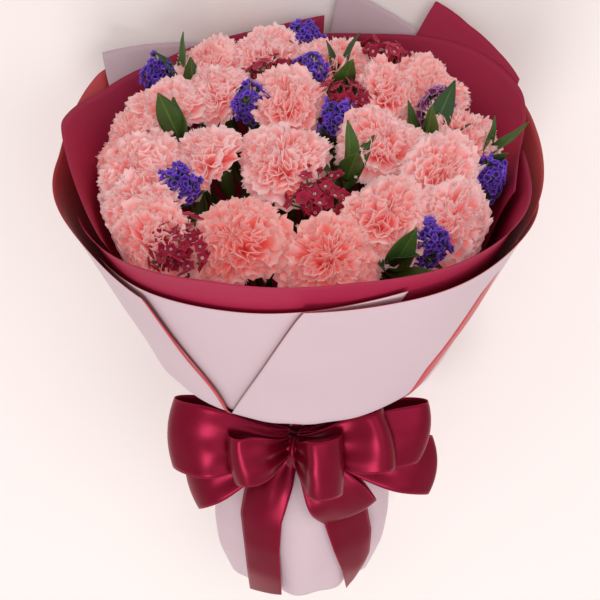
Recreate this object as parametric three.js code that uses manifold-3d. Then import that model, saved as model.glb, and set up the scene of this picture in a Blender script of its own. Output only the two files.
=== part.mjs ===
// Hand-tied bunch of carnations with filler flowers, wrapped in two-tone paper, tied with a satin bow,
// and lying on its back. Millimetres, +Z up.
//
// The bunch is drawn in its own frame: X is across, Y runs up the bunch's axis from the tie (y = 0)
// towards the flowers, and Z points out of its front. The group then tips it by LYING_TILT, so that
// its flattened back and the back of its foot rest on the plane z = 0.
import * as THREE from "three";
import { mergeVertices } from "three/addons/utils/BufferGeometryUtils.js";
import Module from "manifold-3d";

const { degToRad, lerp, smoothstep } = THREE.MathUtils;

// Driving dimensions, in millimetres and degrees.
const LYING_TILT = 15; // the axis climbs this much from the tie to the flowers
const TIE_HEIGHT = 110; // height of the axis over the table at the tie
const NECK_RADIUS = 43; // outside of the gathered paper at the tie
const BOWL_RADIUS = 126; // where the collar's rounded bottom meets its wall
const BOWL_HEIGHT = 74; // height of that corner above the tie
const RIM_RADIUS = 196; // collar radius at RIM_HEIGHT
const RIM_HEIGHT = 250;
const FOOT_RADIUS = 82; // widest part of the paper foot
const FOOT_HEIGHT = 170; // how far the foot reaches below the tie
const FOOT_MOUTH_RADIUS = 66;
const PAPER = 0.8; // thickness of a sheet as a solid
const LAYER_PITCH = 2.4; // from one layer of paper to the next
const LAYERS = 6;
const CLEARANCE = 0.5; // least gap between pieces that rest on each other
const HEAD_RISE = 10; // how far the middle of the dome of flower heads stands above RIM_HEIGHT
const STEM_END = 150; // how far the stems reach below the tie
const STEM_CURVE = 1.3; // how late the stems spread from the tie: 1 would be straight
const TIE_WIDTH = 16;
const TIE_THICKNESS = 4;
const BAND_WIDTH = 36; // the ribbon band round the neck
const RIBBON = 1.0; // thickness of the ribbon as a solid
const RIBBON_WIDTH = 46;

const COLOURS = {
  carnation: 0xf2a5a0, statice: 0x4a2f9e, sweet_william: 0x8e1238, stock: 0x9b3f8f, leaf: 0x2f5a2c,
  pink_paper: 0xe2c3cc, crimson_paper: 0xa31c46, satin: 0x8f0f33, twine: 0xb79a6a,
};
const material = (colour, roughness) =>
  new THREE.MeshStandardMaterial({ color: COLOURS[colour], roughness, metalness: 0, side: THREE.DoubleSide });

// Value at t (0 to 1) along evenly spaced values.
function along(values, t) {
  const place = THREE.MathUtils.clamp(t, 0, 1) * (values.length - 1);
  const i = Math.min(Math.floor(place), values.length - 2);
  return lerp(values[i], values[i + 1], place - i);
}

// Value at x on a line through [x, y] points, run on straight past its ends.
function through(points, x) {
  const after = points.findIndex((p) => p[0] > x);
  const i = after < 0 ? points.length - 1 : Math.max(after, 1);
  const [[x0, y0], [x1, y1]] = [points[i - 1], points[i]];
  return lerp(y0, y1, (x - x0) / (x1 - x0));
}

// Moves every vertex of a geometry to place(x, y, z), an array of three numbers.
function bend(geometry, place) {
  const position = geometry.getAttribute("position");
  for (let i = 0; i < position.count; i++)
    position.setXYZ(i, ...place(position.getX(i), position.getY(i), position.getZ(i)));
  geometry.computeVertexNormals();
  return geometry;
}

// Splits the squares of a box's back face along the same diagonals as its front face's, so that a
// bent sheet keeps its thickness.
function matchDiagonals(box) {
  const { start, count } = box.groups[5];
  for (let i = start; i < start + count; i += 6) {
    box.index.setX(i + 2, box.index.getX(i + 4));
    box.index.setX(i + 3, box.index.getX(i));
  }
  return box;
}

// ---- the wrap's outside shape ----

const TILT = degToRad(LYING_TILT);
const tableDepth = (y) => -(TIE_HEIGHT + y * Math.sin(TILT)) / Math.cos(TILT); // the table, as a depth z

const bowlSlope = (RIM_RADIUS - BOWL_RADIUS) / (RIM_HEIGHT - BOWL_HEIGHT);
const COLLAR_PROFILE = [
  [0, NECK_RADIUS],
  [BAND_WIDTH / 2 + 3, NECK_RADIUS + 2],
  [BOWL_HEIGHT * 0.46, lerp(NECK_RADIUS, BOWL_RADIUS, 0.32)],
  [BOWL_HEIGHT * 0.73, lerp(NECK_RADIUS, BOWL_RADIUS, 0.7)],
  [BOWL_HEIGHT, BOWL_RADIUS],
  [BOWL_HEIGHT + 40, BOWL_RADIUS + bowlSlope * 40 - 1],
  [RIM_HEIGHT, RIM_RADIUS],
  [RIM_HEIGHT + 70, RIM_RADIUS + bowlSlope * 70],
];
const FOOT_PROFILE = [
  [-FOOT_HEIGHT, FOOT_MOUTH_RADIUS],
  [-FOOT_HEIGHT * 0.8, lerp(FOOT_RADIUS, FOOT_MOUTH_RADIUS, 0.25)],
  [-FOOT_HEIGHT * 0.6, FOOT_RADIUS],
  [-FOOT_HEIGHT * 0.42, FOOT_RADIUS - 4],
  [-FOOT_HEIGHT * 0.25, lerp(NECK_RADIUS, FOOT_RADIUS, 0.55)],
  [-BAND_WIDTH / 2 - 3, NECK_RADIUS + 2],
  [0, NECK_RADIUS],
];
const RIM_LEAN = 26; // how far the tall back corners lean out past the collar's wall
const LEAN_START = RIM_HEIGHT - 25;
const lean = (angle, y) =>
  (RIM_LEAN * Math.exp(-(((Math.abs(angle) - 125) / 32) ** 2)) * Math.max(0, y - LEAN_START)) / 55;

// The larger of two values, rounded off where they are within a blend of each other.
function roundedMax(a, b, blend) {
  const h = Math.max(0, 1 - Math.abs(a - b) / blend);
  return Math.max(a, b) + (h * h * blend) / 4;
}

// A point of the wrap, inset from its outside by a depth, and never below the table.
const FLAT_BLEND = 16;
function wrapPoint(profile, angle, y, inset) {
  const turn = ((((angle + 180) % 360) + 360) % 360) - 180;
  const radius = through(profile, y) + lean(turn, y) - inset;
  const z = radius * Math.cos(degToRad(turn));
  const table = tableDepth(y) + inset / Math.cos(TILT);
  return [radius * Math.sin(degToRad(turn)), y, roundedMax(z, table, FLAT_BLEND)];
}

// A sheet of paper. left and right are its side edges' angles from the bottom up, top is its upper
// edge's heights from left to right, and layer counts inwards from the outside.
const SHEETS = {
  collar_left: { layer: 0, left: [-186, -186, -186], right: [-26, -36, -48], top: [256, 258, 259, 236, 229, 214] },
  collar_right: { layer: 0, left: [-20, -9, 3], right: [80, 80, 80], top: [244, 243, 240, 238, 233] },
  collar_front: { layer: 1.5, left: [-44, -52, -62], right: [6, 16, 24], top: [214, 222, 232, 241, 250] },
  collar_side: { layer: 1, left: [62, 62, 62], right: [150, 150, 150], top: [229, 240, 247, 257, 258] },
  collar_back: { layer: 2, left: [138, 140, 142], right: [178, 176, 171], top: [262, 270, 284, 298, 312] },
  collar_corner: { layer: 2, left: [-176, -176, -176], right: [-100, -112, -130], top: [262, 262, 266, 272] },
  lining_front: { layer: 3, left: [-78, -78, -78], right: [100, 100, 100], top: [222, 236, 255, 259, 251, 243, 236] },
  lining_left: { layer: 4, left: [-186, -186, -186], right: [-60, -60, -60], top: [288, 272, 256, 252, 262, 247, 232] },
  lining_right: { layer: 3.7, left: [84, 100, 120], right: [165, 158, 149], top: [266, 274, 284, 300] },
  lining_back: { layer: 5, left: [78, 78, 78], right: [190, 190, 190], top: [246, 247, 263, 270, 273, 274, 272] },
};
const SHEET_BOTTOM = TIE_WIDTH / 2 + 2; // the sheets end just above the tie, under the ribbon band
const DEGREES_A_STEP = 9;
// Every sheet has its rows of corners at the same heights, so that the layers fold together.
const FOLDS = COLLAR_PROFILE.map(([y]) => y).filter((y) => y > SHEET_BOTTOM && y < RIM_HEIGHT - 40);

function collarSheet({ layer, left, right, top }) {
  const steps = Math.ceil((Math.max(...right) - Math.min(...left)) / DEGREES_A_STEP);
  const rows = FOLDS.length + 2;
  return bend(matchDiagonals(new THREE.BoxGeometry(1, 1, 1, steps, rows, 1)), (x, y, z) => {
    const upper = along(top, x + 0.5);
    const heights = [SHEET_BOTTOM, ...FOLDS, Math.min(LEAN_START, upper - 8), upper];
    const height = heights[Math.round((y + 0.5) * rows)];
    const v = (height - SHEET_BOTTOM) / (upper - SHEET_BOTTOM);
    const angle = lerp(along(left, v), along(right, v), x + 0.5);
    return wrapPoint(COLLAR_PROFILE, angle, height, layer * LAYER_PITCH + (0.5 - z) * PAPER);
  });
}

// The foot is one sheet wound once round the stems, with a short overlap behind.
function footSheet() {
  const [start, turn] = [172, 384];
  const heights = [...FOOT_PROFILE.slice(0, -1).map(([y]) => y), -SHEET_BOTTOM];
  const rows = heights.length - 1;
  return bend(matchDiagonals(new THREE.BoxGeometry(1, 1, 1, 36, rows, 1)), (x, y, z) => {
    const inset = (0.5 - x) * LAYER_PITCH + (0.5 - z) * PAPER;
    return wrapPoint(FOOT_PROFILE, start + (x + 0.5) * turn, heights[Math.round((y + 0.5) * rows)], inset);
  });
}

// ---- flowers ----

// Each cut flower: across and front place its head on the dome, seen from above the bunch, where the
// paper at the dome's height has an inside radius of FILLED_RADIUS.
const FILLED_RADIUS = 185.6;
const FLOWERS = {
  carnation: [
    [-110, -75], [-145, -44], [-66, -84], [-8, -62], [-77, -130], [-30, -138], [30, -124], [74, -90], [114, -112],
    [143, -50], [70, -14], [-12, 18], [-66, 4], [-133, 1], [-126, 45], [-126, 90], [-44, 100], [20, 118],
    [66, 78], [115, 16], [124, 64],
  ],
  statice: [[4, -152], [-116, -116], [-40, -56], [-94, 36], [30, -32], [96, 96], [150, 8], [9, -98]],
  sweet_william: [[-90, 104], [14, 62], [38, -64], [-24, -99], [72, -134]],
  stock: [[108, -60]],
  leaf: [[-94, -103], [-98, -28], [33, -94], [104, -28], [152, -19], [38, 26], [72, 122]],
};
// The heads fill the bowl: their places and widths follow the paper's inside radius.
const HEAD_HEIGHT = RIM_HEIGHT + HEAD_RISE;
const filling = (through(COLLAR_PROFILE, HEAD_HEIGHT) - LAYERS * LAYER_PITCH) / FILLED_RADIUS;
for (const place of Object.values(FLOWERS).flat())
  for (const i of [0, 1]) place[i] *= filling;
// Middle of a head above the tie: a dome that rises towards the back.
const headHeight = (across, front) => HEAD_HEIGHT - 0.0009 * across ** 2 - 0.0003 * front ** 2 - 0.137 * front;

// How far stems stand from the axis at each height, as a share of their spread at HEAD_HEIGHT. At the
// tie they are gathered to fit inside the layers of paper.
const STEM_RADIUS = 2;
const gathered = NECK_RADIUS - LAYERS * LAYER_PITCH - 3 - STEM_RADIUS;
const fullSpread = ([across, front]) =>
  Math.hypot(across, front) / (headHeight(across, front) / HEAD_HEIGHT) ** STEM_CURVE;
const neckShare = gathered / Math.max(...Object.values(FLOWERS).flat().map(fullSpread));
const spread = (y) =>
  y < 0 ? neckShare * (1 - y / 400) : lerp(neckShare, 1, (y / HEAD_HEIGHT) ** STEM_CURVE);

const STEM_HEIGHTS = [-STEM_END, -TIE_WIDTH / 2, TIE_WIDTH / 2, 60, 110, 170]; // rings of a stem, from its cut end
// Heads as [distance above the head's base, radius], from where the stem meets the head.
const HEADS = {
  carnation: { sides: 8, stem: STEM_RADIUS, middle: 36, shape: [[0, 3], [6, 6], [22, 7.5], [30, 17], [38, 23], [48, 20], [56, 0]] },
  statice: { sides: 6, stem: 1.4, middle: 16, shape: [[0, 2.5], [10, 8], [20, 10.5], [28, 8], [32, 0]] },
  sweet_william: { sides: 6, stem: 1.8, middle: 18, shape: [[0, 2.5], [10, 10], [18, 15], [24, 13], [28, 0]] },
  stock: { sides: 6, stem: 1.8, middle: 22, shape: [[0, 3], [10, 11], [26, 12], [38, 7], [42, 0]] },
};
const LEAF = { sides: 6, stem: 1.3, middle: 26, length: 48, halfWidth: 9, halfThickness: 0.7 };

// The middle line of a stem: it fans out from the tie, then runs straight on above straightFrom.
function stemLine(across, front) {
  const height = headHeight(across, front);
  const [ax, az] = [across / spread(height), front / spread(height)];
  const onStem = (y) => new THREE.Vector3(ax * spread(y), y, az * spread(y));
  return { height, onStem, sideways: new THREE.Vector3(az, 0, -ax).normalize() };
}

// A flower is a lathed profile, from its cut end to the top of its head, bent along its stem. widen
// and thin turn the round section into a leaf's flat one above the head's base.
function flowerGeometry(across, front, { sides, stem, middle, shape }, flat) {
  const { height, onStem, sideways } = stemLine(across, front);
  const base = height - middle;
  const up = onStem(base + 1).sub(onStem(base - 1)).normalize();
  const profile = [new THREE.Vector2(0, -STEM_END)];
  for (const y of STEM_HEIGHTS) profile.push(new THREE.Vector2(stem, y));
  for (const [rise, radius] of shape) profile.push(new THREE.Vector2(radius * filling, base + rise));
  return bend(new THREE.LatheGeometry(profile, sides), (x, y, z) => {
    const ahead = y > base ? up : onStem(y + 1).sub(onStem(y - 1)).normalize();
    const middleLine = y > base ? onStem(base).addScaledVector(up, y - base) : onStem(y);
    const outward = new THREE.Vector3().crossVectors(sideways, ahead).normalize();
    const [wide, thick] = flat && y > base ? flat : [1, 1];
    return middleLine.addScaledVector(sideways, x * wide).addScaledVector(outward, z * thick).toArray();
  });
}

const leafShape = [0, 0.15, 0.35, 0.6, 0.85, 1].map((t) => [
  t * LEAF.length,
  t === 0 ? LEAF.stem : t === 1 ? 0 : LEAF.halfWidth * Math.sin(Math.PI * t ** 0.8),
]);

function flower(kind, across, front) {
  if (kind !== "leaf") return flowerGeometry(across, front, HEADS[kind]);
  const flat = [1, (2 * LEAF.halfThickness) / LEAF.halfWidth];
  return flowerGeometry(across, front, { ...LEAF, shape: leafShape }, flat);
}

// ---- tie and ribbon ----

// A ring about the axis with a rectangular section.
function ring(inner, outer, width, sides) {
  const [low, high] = [-width / 2, width / 2];
  const corners = [[inner, low], [outer, low], [outer, high], [inner, high], [inner, low]];
  return new THREE.LatheGeometry(corners.map(([r, y]) => new THREE.Vector2(r, y)), sides);
}

const wasm = await Module();
wasm.setup();
function solidOf(geometry) {
  geometry.deleteAttribute("normal");
  geometry.deleteAttribute("uv");
  const merged = mergeVertices(geometry, 1e-3);
  const mesh = { numProp: 3, vertProperties: merged.attributes.position.array, triVerts: merged.index.array };
  return new wasm.Manifold(new wasm.Mesh({ ...mesh, triVerts: new Uint32Array(mesh.triVerts) }));
}
function geometryOf(solid) {
  const { vertProperties, triVerts } = solid.getMesh();
  const geometry = new THREE.BufferGeometry();
  geometry.setAttribute("position", new THREE.BufferAttribute(vertProperties, 3));
  return geometry.setIndex(new THREE.BufferAttribute(triVerts, 1));
}

// A bow loop: a teardrop band of ribbon, length long and opening deep, that starts at its root.
function loopGeometry(length, opening, width) {
  const outline = (inset, count) =>
    Array.from({ length: count }, (_, i) => {
      const turn = (2 * Math.PI * i) / count;
      const reach = (1 - Math.cos(turn)) / 2;
      const half = -(opening / 2) * Math.sin(turn) * (0.35 + 0.65 * reach);
      return new THREE.Vector2(
        lerp(inset * 3, length - inset, reach), half * (1 - (2 * inset) / opening));
    });
  const shape = new THREE.Shape(outline(0, 16));
  shape.holes.push(new THREE.Path(outline(RIBBON, 14)));
  const band = new THREE.ExtrudeGeometry(shape, { depth: width, bevelEnabled: false });
  return band.translate(0, 0, -width / 2);
}

// Depth of the middle of the bow in front of the axis: its loops pass in front of the collar's bottom.
const BOW_FRONT = through(COLLAR_PROFILE, 0.6 * RIBBON_WIDTH) + 0.06 * BOWL_RADIUS;
const BOW_HEIGHT = 0; // and its height above the tie
const KNOT = { width: 24, height: 30, depth: 16 };
// Loops as [direction in degrees from straight right, length, opening, lift out of the front].
const BOW_LOOPS = {
  bow_loops_left: [[162, 98, 34, 8], [200, 84, 30, 20], [186, 52, 26, 40]],
  bow_loops_right: [[19, 108, 34, 8], [-5, 106, 28, 22], [-44, 62, 26, 40]],
};

function bowLoops(loops, side) {
  const root = new THREE.Vector3(side * (KNOT.width / 2 + CLEARANCE), BOW_HEIGHT, BOW_FRONT);
  let joined = solidOf(new THREE.BoxGeometry(12, KNOT.height * 0.8, KNOT.depth * 0.8)
    .translate(root.x + side * 6, root.y, root.z));
  for (const [direction, length, opening, lift] of loops) {
    const band = loopGeometry(length, opening, RIBBON_WIDTH);
    band.rotateX(Math.PI / 2); // the ribbon's width now runs along the bunch
    band.rotateY(-degToRad(lift));
    band.rotateZ(degToRad(direction));
    joined = joined.add(solidOf(band.translate(root.x + side * 3, root.y, root.z)));
  }
  const keep = solidOf(new THREE.BoxGeometry(200, 400, 400).translate(root.x + side * 100, 0, BOW_FRONT));
  return geometryOf(joined.intersect(keep));
}

// A ribbon tail that hangs from the band and lies on the foot. middle is its places across, from
// its top down.
const TAILS = {
  ribbon_tail_left: { middle: [-10, -30, -36, -34, -30], end: -172 },
  ribbon_tail_right: { middle: [10, 30, 42, 49, 54], end: -168 },
};
const TAIL_WIDTH = 34;
function tail({ middle, end }) {
  const top = -BAND_WIDTH / 2 - 2;
  return bend(matchDiagonals(new THREE.BoxGeometry(1, 1, 1, 4, 10, 1)), (x, y, z) => {
    const v = 0.5 - y;
    const width = lerp(TAIL_WIDTH * 0.5, TAIL_WIDTH, Math.min(1, v * 4));
    const across = along(middle, v) + x * width;
    const height = lerp(top, end, v);
    const radius = through(FOOT_PROFILE, height) + PAPER + 3 + (z + 0.5) * RIBBON;
    return [across, height, Math.sqrt(Math.max(radius ** 2 - across ** 2, (0.4 * radius) ** 2))];
  });
}

// ---- the bunch ----

const bunch = new THREE.Group();
function add(name, geometry, look) {
  const mesh = new THREE.Mesh(geometry, look);
  mesh.name = name;
  bunch.add(mesh);
}

for (const [kind, places] of Object.entries(FLOWERS))
  places.forEach(([across, front], i) =>
    add(`${kind}_${String(i + 1).padStart(2, "0")}`, flower(kind, across, front), material(kind, 0.8)));

for (const [name, sheet] of Object.entries(SHEETS))
  add(name, collarSheet(sheet), material(name.startsWith("lining") ? "crimson_paper" : "pink_paper", 0.7));
add("foot_wrap", footSheet(), material("pink_paper", 0.7));

const tieInner = gathered * 1.1 + STEM_RADIUS + CLEARANCE;
add("stem_tie", ring(tieInner, tieInner + TIE_THICKNESS, TIE_WIDTH, 24), material("twine", 0.9));
const bandInner = NECK_RADIUS + 3;
add("ribbon_band", ring(bandInner, bandInner + RIBBON, BAND_WIDTH, 32), material("satin", 0.35));
const knot = new THREE.BoxGeometry(KNOT.width, KNOT.height, KNOT.depth - 4, 2, 2, 1);
add("bow_knot", knot.translate(0, BOW_HEIGHT, BOW_FRONT), material("satin", 0.35));
add("bow_loops_left", bowLoops(BOW_LOOPS.bow_loops_left, -1), material("satin", 0.35));
add("bow_loops_right", bowLoops(BOW_LOOPS.bow_loops_right, 1), material("satin", 0.35));
for (const [name, shape] of Object.entries(TAILS)) add(name, tail(shape), material("satin", 0.35));

// Lay the bunch on its back and centre its footprint on the origin.
const part = new THREE.Group();
part.add(bunch);
bunch.rotation.x = TILT;
bunch.position.z = TIE_HEIGHT;
part.updateMatrixWorld(true);
const extent = new THREE.Box3().setFromObject(part, true);
const centre = extent.getCenter(new THREE.Vector3());
bunch.position.set(-centre.x, -centre.y, TIE_HEIGHT - extent.min.z);

export default part;
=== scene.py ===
"""A hand-tied bunch of carnations in a two-tone paper wrap with a satin bow, lying on its back.

Shapes are drawn in the bunch's own coordinates, in millimetres: across, along the axis from the tie
to the flowers, and out of the front. to_row turns them into the row frame, in metres.
"""

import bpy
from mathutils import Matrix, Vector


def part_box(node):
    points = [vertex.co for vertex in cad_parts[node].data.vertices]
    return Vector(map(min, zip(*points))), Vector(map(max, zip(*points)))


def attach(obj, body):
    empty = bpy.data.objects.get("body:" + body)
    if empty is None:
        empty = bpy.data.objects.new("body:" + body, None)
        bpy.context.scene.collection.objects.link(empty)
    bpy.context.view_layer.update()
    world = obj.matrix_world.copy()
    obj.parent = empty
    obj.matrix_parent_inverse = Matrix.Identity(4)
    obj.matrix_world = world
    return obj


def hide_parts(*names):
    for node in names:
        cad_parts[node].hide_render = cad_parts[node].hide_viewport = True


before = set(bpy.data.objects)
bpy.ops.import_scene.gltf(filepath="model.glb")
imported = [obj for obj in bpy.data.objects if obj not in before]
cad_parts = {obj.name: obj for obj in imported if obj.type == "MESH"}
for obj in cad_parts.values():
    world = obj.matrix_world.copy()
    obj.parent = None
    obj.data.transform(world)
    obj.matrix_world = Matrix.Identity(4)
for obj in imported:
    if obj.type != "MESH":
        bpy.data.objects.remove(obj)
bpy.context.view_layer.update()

import math

import bpy
import numpy as np
from bpy.props import FloatProperty, FloatVectorProperty, IntProperty, PointerProperty
from mathutils import Matrix, Vector

bl_info = {
    "name": "Wrapped Bunch of Carnations",
    "version": (1, 0, 0),
    "blender": (4, 5, 0),
    "location": "View3D > Sidebar > Carnations",
    "description": "Builds a wrapped bunch of carnations round its packed solids",
    "category": "Add Mesh",
}

MM = 0.001
LEAN = math.radians(15)  # the axis climbs this much from the tie to the flowers
TIE_LOW, TIE_HIGH = (np.array(corner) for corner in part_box("stem_tie"))
TIE = (TIE_LOW + TIE_HIGH) / 2
TIE_RADIUS = (TIE_HIGH[0] - TIE_LOW[0]) / 2 / MM
TIE_HEIGHT = TIE[2] / MM
BAND_LOW, BAND_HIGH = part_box("ribbon_band")
BAND_THICKNESS = 4  # of the CAD band, which lies round the neck
NECK_RADIUS = (BAND_HIGH[0] - BAND_LOW[0]) / 2 / MM - BAND_THICKNESS

# ---------------------------------------------------------------- coordinates


def to_row(p):
    """Bunch coordinates in mm to the row frame in metres: turned by LEAN about X, then moved to the tie."""
    across, along, out = p[..., 0], p[..., 1], p[..., 2]
    c, s = math.cos(LEAN), math.sin(LEAN)
    return TIE + MM * np.stack([across, along * c - out * s, along * s + out * c], axis=-1)


def to_bunch(p):
    """The row frame in metres to bunch coordinates in mm: the inverse of to_row."""
    d = (np.asarray(p) - TIE) / MM
    c, s = math.cos(LEAN), math.sin(LEAN)
    return np.stack([d[..., 0], d[..., 1] * c + d[..., 2] * s, d[..., 2] * c - d[..., 1] * s], axis=-1)


def node_points(name):
    """Every corner of a CAD node's mesh, in bunch coordinates."""
    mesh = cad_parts[name].data
    flat = np.empty(len(mesh.vertices) * 3)
    mesh.vertices.foreach_get("co", flat)
    return to_bunch(flat.reshape(-1, 3))


def unit(v):
    """v divided by its length, along its last axis."""
    return v / np.maximum(np.linalg.norm(v, axis=-1, keepdims=True), 1e-9)


def smooth(x, low=0.0, high=1.0):
    """0 below low, 1 above high, and the cubic 3t2 - 2t3 between them."""
    t = np.clip((x - low) / (high - low), 0, 1)
    return t * t * (3 - 2 * t)


def numbered(kind):
    """The CAD nodes whose names start with a kind of flower."""
    return sorted(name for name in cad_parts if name.startswith(kind + "_"))


# ---------------------------------------------------------------- meshes


class Part:
    """Corners, four-sided and three-sided faces, corner values and a material number for each face."""

    def __init__(self, points, quads, tris=None, values=None, quad_material=0, tri_material=0):
        self.points = points.reshape(-1, 3)
        self.quads = quads
        self.tris = np.empty((0, 3), int) if tris is None else tris
        self.values = values or {}
        self.quad_material = np.broadcast_to(quad_material, len(quads))
        self.tri_material = np.broadcast_to(tri_material, len(self.tris))


def closed_sheets(p, thickness, values=None, back_material=0):
    """k sheets from a (k, m, n, 3) grid: each point is pushed half the thickness along the cross product
    of the grid's two directions for the front, and as far the other way for the back, and four strips
    join the two along the border. values are (k, m, n) arrays kept at every corner."""
    k, m, n, _ = p.shape
    half = unit(np.cross(np.gradient(p, axis=1), np.gradient(p, axis=2))) * (thickness / 2)
    points = np.concatenate([(p + half).reshape(k, -1, 3), (p - half).reshape(k, -1, 3)], axis=1)
    f = np.arange(m * n).reshape(m, n)
    b = f + m * n

    def strip(*corners):
        return np.stack([c.ravel() for c in corners], axis=-1)

    front = strip(f[:-1, :-1], f[1:, :-1], f[1:, 1:], f[:-1, 1:])
    rim = np.concatenate([
        strip(f[1:, 0], f[:-1, 0], b[:-1, 0], b[1:, 0]),
        strip(f[:-1, -1], f[1:, -1], b[1:, -1], b[:-1, -1]),
        strip(f[0, :-1], f[0, 1:], b[0, 1:], b[0, :-1]),
        strip(f[-1, 1:], f[-1, :-1], b[-1, :-1], b[-1, 1:]),
    ])
    one = np.concatenate([front, front[:, ::-1] + m * n, rim])
    side = np.zeros(len(one), int)
    side[len(front):2 * len(front)] = back_material
    quads = (one[None] + (np.arange(k) * 2 * m * n)[:, None, None]).reshape(-1, 4)
    kept = {}
    for name, value in (values or {}).items():
        flat = np.broadcast_to(value, (k, m, n)).reshape(k, -1)
        kept[name] = np.concatenate([flat, flat], axis=1).ravel()
    return Part(points, quads, values=kept, quad_material=np.tile(side, k))


def closed_tubes(centre, radius, sides, values=None, flatten=1.0):
    """k tubes from (k, m, 3) middle lines: a ring of corners round each point, at the radius times the
    cosine and sine of the turn along two directions square to the line, with a fan at each end."""
    k, m, _ = centre.shape
    ahead = unit(np.gradient(centre, axis=1))
    aside = unit(np.cross(ahead, np.array([0.31, 0.12, 0.94])))
    other = np.cross(ahead, aside) * flatten
    turn = np.linspace(0, 2 * np.pi, sides, endpoint=False)
    r = np.broadcast_to(radius, (k, m))[..., None, None]
    ring = centre[:, :, None] + r * (
        np.cos(turn)[:, None] * aside[:, :, None] + np.sin(turn)[:, None] * other[:, :, None])
    points = np.concatenate([ring.reshape(k, -1, 3), centre[:, :1], centre[:, -1:]], axis=1)
    i = np.arange(m * sides).reshape(m, sides)
    j = np.roll(i, -1, axis=1)
    quads = np.stack([i[:-1], j[:-1], j[1:], i[1:]], axis=-1).reshape(-1, 4)
    first, last = m * sides, m * sides + 1
    tris = np.concatenate([
        np.stack([j[0], i[0], np.full(sides, first)], axis=-1),
        np.stack([i[-1], j[-1], np.full(sides, last)], axis=-1),
    ])
    step = np.arange(k)[:, None, None] * (m * sides + 2)
    kept = {}
    for name, value in (values or {}).items():
        flat = np.broadcast_to(value, (k, m))
        kept[name] = np.concatenate(
            [np.repeat(flat, sides, axis=1), flat[:, :1], flat[:, -1:]], axis=1).ravel()
    return Part(points, (quads[None] + step).reshape(-1, 4), (tris[None] + step).reshape(-1, 3), kept)


def make_piece(name, parts, materials, slot, *nodes):
    """Joins parts into one mesh object at the origin, which rides on the bunch and stands for the nodes."""
    points = to_row(np.concatenate([p.points for p in parts]))
    start = np.cumsum([0] + [len(p.points) for p in parts[:-1]])
    quads = np.concatenate([p.quads + s for p, s in zip(parts, start)])
    tris = np.concatenate([p.tris + s for p, s in zip(parts, start)])
    mesh = bpy.data.meshes.new(name)
    mesh.vertices.add(len(points))
    mesh.vertices.foreach_set("co", points.ravel())
    mesh.loops.add(quads.size + tris.size)
    mesh.loops.foreach_set("vertex_index", np.concatenate([quads.ravel(), tris.ravel()]))
    mesh.polygons.add(len(quads) + len(tris))
    starts = np.concatenate([np.arange(len(quads)) * 4, quads.size + np.arange(len(tris)) * 3])
    mesh.polygons.foreach_set("loop_start", starts)
    numbers = np.concatenate([p.quad_material for p in parts] + [p.tri_material for p in parts])
    mesh.polygons.foreach_set("material_index", numbers.astype(np.int32))
    mesh.polygons.foreach_set("use_smooth", np.ones(len(quads) + len(tris), bool))
    for value in sorted({v for p in parts for v in p.values}):
        layer = mesh.attributes.new(value, "FLOAT", "POINT")
        flat = [p.values.get(value, np.zeros(len(p.points))) for p in parts]
        layer.data.foreach_set("value", np.concatenate(flat).astype(np.float32))
    for material in materials:
        mesh.materials.append(material)
    mesh.update(calc_edges=True)
    mesh.validate()
    piece = bpy.data.objects.new(name, mesh)
    bpy.context.scene.collection.objects.link(piece)
    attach(piece, "root")
    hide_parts(*nodes)
    return piece


# ---------------------------------------------------------------- materials


def linear(red, green, blue):
    """A colour as it shows on a screen, 0 to 255, as the linear values that a shader takes."""
    c = np.array([red, green, blue]) / 255
    return tuple(np.where(c < 0.04045, c / 12.92, ((c + 0.055) / 1.055) ** 2.4))


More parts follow.
